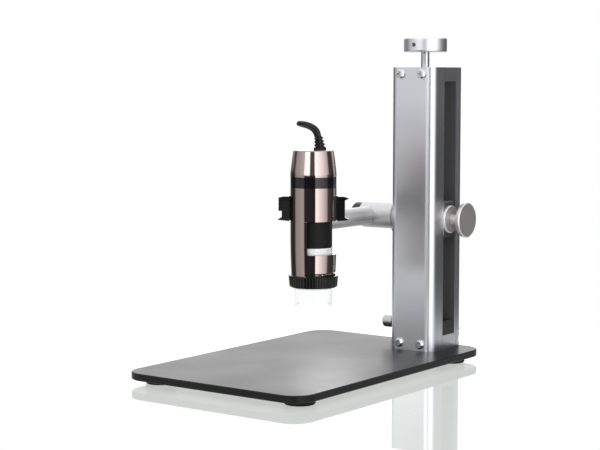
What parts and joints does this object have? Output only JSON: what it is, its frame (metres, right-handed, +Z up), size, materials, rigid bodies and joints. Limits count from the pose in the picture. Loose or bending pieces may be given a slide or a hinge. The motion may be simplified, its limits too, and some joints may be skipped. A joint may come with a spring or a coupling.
{
  "type": "digital microscope on column stand",
  "caption": "Handheld USB microscope held in the clip of a tilting arm, on a column stand with a lead-screw height drive and a flat base plate.",
  "frame": {"origin": "on the table under the middle of the base plate", "axes": "+Z up along the column, -Y towards the front of the base plate where the microscope hangs, +X to the right, the side of the height lock knob"},
  "size_m": [0.148, 0.3175, 0.233],
  "materials": {
    "black_paint": "satin black powder coat",
    "satin_aluminium": "fine satin anodised, natural silver",
    "black_aluminium": "black anodised",
    "steel": "bright zinc plated steel",
    "brass": "turned brass",
    "rubber": "matte black rubber",
    "white_plastic": "white acetal",
    "black_plastic": "matte black moulded plastic",
    "gloss_black": "high gloss black plastic",
    "plated_shell": "gloss plastic with a dark rose metallic coat",
    "circuit_board": "green solder mask",
    "clear_plastic": "clear acrylic",
    "lens_glass": "coated optical glass",
    "grey_film": "grey polarising film",
    "cable": "matte black cable jacket"
  },
  "bodies": {
    "stand": {"base_plate": "black_paint", "rubber_feet": "rubber", "foot_screws": "steel", "column_front": "satin_aluminium", "column_rear": "satin_aluminium", "top_block": "satin_aluminium", "bottom_block": "satin_aluminium", "front_screws": "steel", "rear_screws": "steel", "base_bolts": "steel", "screw_bushes": "brass", "cable_drop": "cable", "cable_coil": "cable", "cable_tail": "cable", "plug_body": "cable", "plug_shell": "steel"},
    "height_screw": {"lead_screw": "steel", "top_knob": "black_aluminium", "knob_set_screw": "steel"},
    "carriage": {"carriage_block": "satin_aluminium", "carriage_nut": "steel", "glide_pads": "white_plastic", "lock_washer": "satin_aluminium", "pivot_boss": "satin_aluminium", "pivot_bolt": "steel", "tilt_washers": "black_plastic", "cable_arm": "cable"},
    "lock": {"lock_knob": "satin_aluminium", "lock_stud": "steel"},
    "arm": {"arm_hub": "satin_aluminium", "arm_bar": "satin_aluminium", "swivel_washer": "white_plastic", "swivel_screw": "steel", "cable_clip": "cable"},
    "tension": {"tension_knob": "black_plastic", "tension_nut": "brass"},
    "holder": {"scope_clip": "gloss_black", "clip_liner": "rubber", "cable_scope": "cable"},
    "scope": {"main_shell": "plated_shell", "black_band": "gloss_black", "upper_shell": "plated_shell", "inner_frame": "black_plastic", "scale_ring": "white_plastic", "sensor_board": "circuit_board", "main_board": "circuit_board", "led_board": "circuit_board", "leds": "clear_plastic", "cable_outlet": "rubber"},
    "dial": {"focus_dial": "black_plastic"},
    "lens_unit": {"lens_barrel": "black_aluminium", "objective_lens": "lens_glass", "relay_lens": "lens_glass", "lens_retainer": "black_aluminium"},
    "nose": {"polarizer_ring": "gloss_black", "polarizer_film": "grey_film", "front_cap": "clear_plastic"},
    "stop": {"stop_block": "black_aluminium"},
    "stop_clamp": {"stop_screw": "satin_aluminium"}
  },
  "joints": [
    {"name": "height_slide", "type": "slide", "parent": "stand", "child": "carriage", "axis": [0, 0, 1], "range_m": [-0.026, 0.082], "deforming": ["cable_drop"]},
    {"name": "screw_turn", "type": "hinge", "parent": "stand", "child": "height_screw", "pos_m": [0.0355, 0.091, 0.2], "axis": [0, 0, 1], "range_deg": [-7380, 2340]},
    {"name": "lock_turn", "type": "hinge", "parent": "carriage", "child": "lock", "pos_m": [0.06, 0.0963, 0.103], "axis": [1, 0, 0], "range_deg": [0, 360]},
    {"name": "arm_tilt", "type": "hinge", "parent": "carriage", "child": "arm", "pos_m": [-0.012, 0.0963, 0.103], "axis": [-1, 0, 0], "range_deg": [-5, 35], "deforming": ["cable_arm"]},
    {"name": "tension_turn", "type": "hinge", "parent": "carriage", "child": "tension", "pos_m": [-0.028, 0.0963, 0.103], "axis": [-1, 0, 0], "range_deg": [0, 360]},
    {"name": "clip_swivel", "type": "hinge", "parent": "arm", "child": "holder", "pos_m": [-0.012, 0.022, 0.1147], "axis": [0, 0, 1], "range_deg": [-75, 27], "deforming": ["cable_clip"]},
    {"name": "scope_turn", "type": "hinge", "parent": "holder", "child": "scope", "pos_m": [0.0038, -0.00232, 0.1147], "axis": [0, 0, 1], "range_deg": [-60, 60], "deforming": ["cable_scope"]},
    {"name": "lens_slide", "type": "slide", "parent": "scope", "child": "lens_unit", "axis": [0, 0, 1], "range_m": [-0.003, 0.003]},
    {"name": "focus_turn", "type": "hinge", "parent": "scope", "child": "dial", "pos_m": [0.0038, -0.00232, 0.0973], "axis": [0, 0, 1], "range_deg": [-150, 150]},
    {"name": "nose_turn", "type": "hinge", "parent": "scope", "child": "nose", "pos_m": [0.0038, -0.00232, 0.065], "axis": [0, 0, 1], "range_deg": [-90, 90]},
    {"name": "stop_slide", "type": "slide", "parent": "stand", "child": "stop", "axis": [0, 0, 1], "range_m": [0, 0.033]},
    {"name": "stop_clamp_turn", "type": "hinge", "parent": "stop", "child": "stop_clamp", "pos_m": [0.01, 0.0963, 0.0242], "axis": [-1, 0, 0], "range_deg": [0, 360]}
  ],
  "couplings": [
    {"joint": "screw_turn", "follows": "height_slide", "rad_per_m": -1570.8},
    {"joint": "focus_turn", "follows": "lens_slide", "rad_per_m": 872.66}
  ]
}
